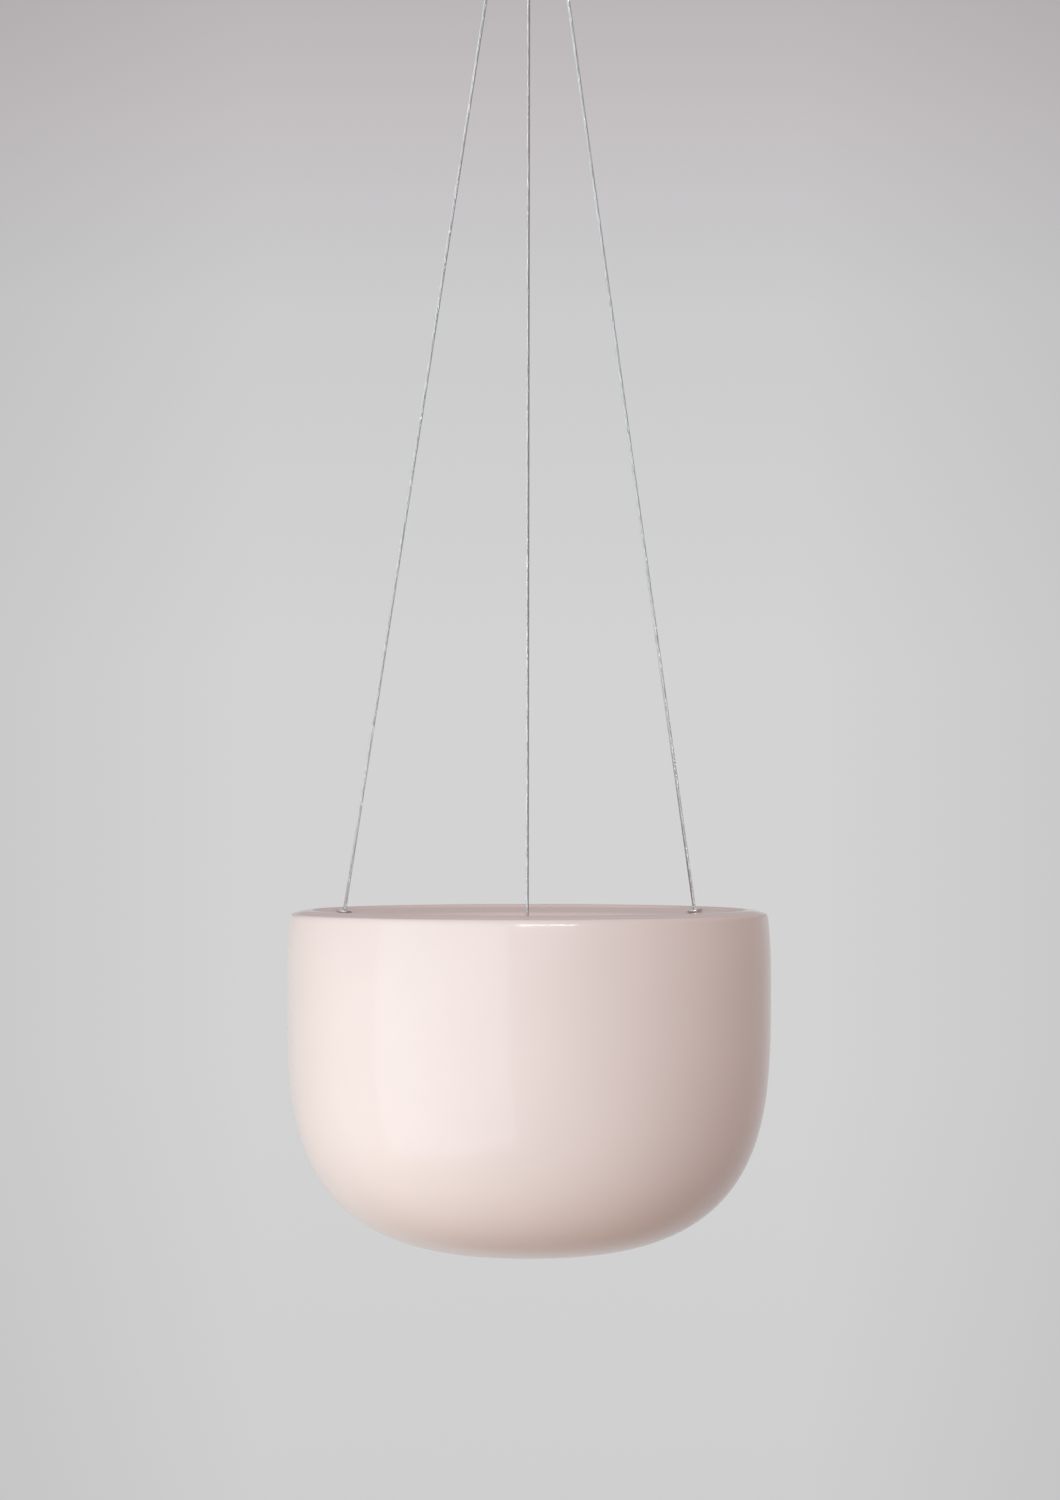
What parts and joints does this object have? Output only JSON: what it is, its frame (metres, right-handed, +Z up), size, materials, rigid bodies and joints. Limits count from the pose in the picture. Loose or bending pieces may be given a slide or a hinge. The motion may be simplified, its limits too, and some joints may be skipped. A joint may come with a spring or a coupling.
{
  "type": "hanging planter",
  "caption": "Rounded glazed ceramic bowl with a dished rim, hung level on thin wire ropes that gather on a steel ring under an open ceiling hook.",
  "frame": {"origin": "centre of the hook plate's upper face, where it lies on the ceiling", "axes": "+Z up, out of the plate into the ceiling; the planter hangs down -Z; the front faces -Y and the hook opens to -Y"},
  "size_m": [0.22, 0.22, 0.7435],
  "materials": {
    "pink_glaze": "satin gloss",
    "wire_rope": "bright stranded",
    "sleeve_metal": "satin",
    "polished_steel": "polished",
    "brushed_steel": "brushed"
  },
  "bodies": {
    "ceiling_mount": {"ceiling_plate": "brushed_steel", "plate_screw_left": "brushed_steel", "plate_screw_right": "brushed_steel", "ceiling_hook": "brushed_steel"},
    "ring": {"hanging_ring": "polished_steel"},
    "hanging_planter": {"planter_bowl": "pink_glaze", "wire_front": "wire_rope", "wire_back_right": "wire_rope", "wire_back_left": "wire_rope", "loop_sleeve_front": "sleeve_metal", "loop_sleeve_back_right": "sleeve_metal", "loop_sleeve_back_left": "sleeve_metal", "stop_sleeve_front": "sleeve_metal", "stop_sleeve_back_right": "sleeve_metal", "stop_sleeve_back_left": "sleeve_metal", "eyelet_front": "polished_steel", "eyelet_back_right": "polished_steel", "eyelet_back_left": "polished_steel", "washer_front": "polished_steel", "washer_back_right": "polished_steel", "washer_back_left": "polished_steel"}
  },
  "joints": [
    {"name": "swing_sideways", "type": "hinge", "parent": "ceiling_mount", "child": "ring", "pos_m": [0, 0, -0.03062], "axis": [0, 1, 0], "range_deg": [-45, 45]},
    {"name": "swing_fore_aft", "type": "hinge", "parent": "ring", "child": "hanging_planter", "pos_m": [0, 0, -0.04982], "axis": [1, 0, 0], "range_deg": [-45, 45]}
  ]
}
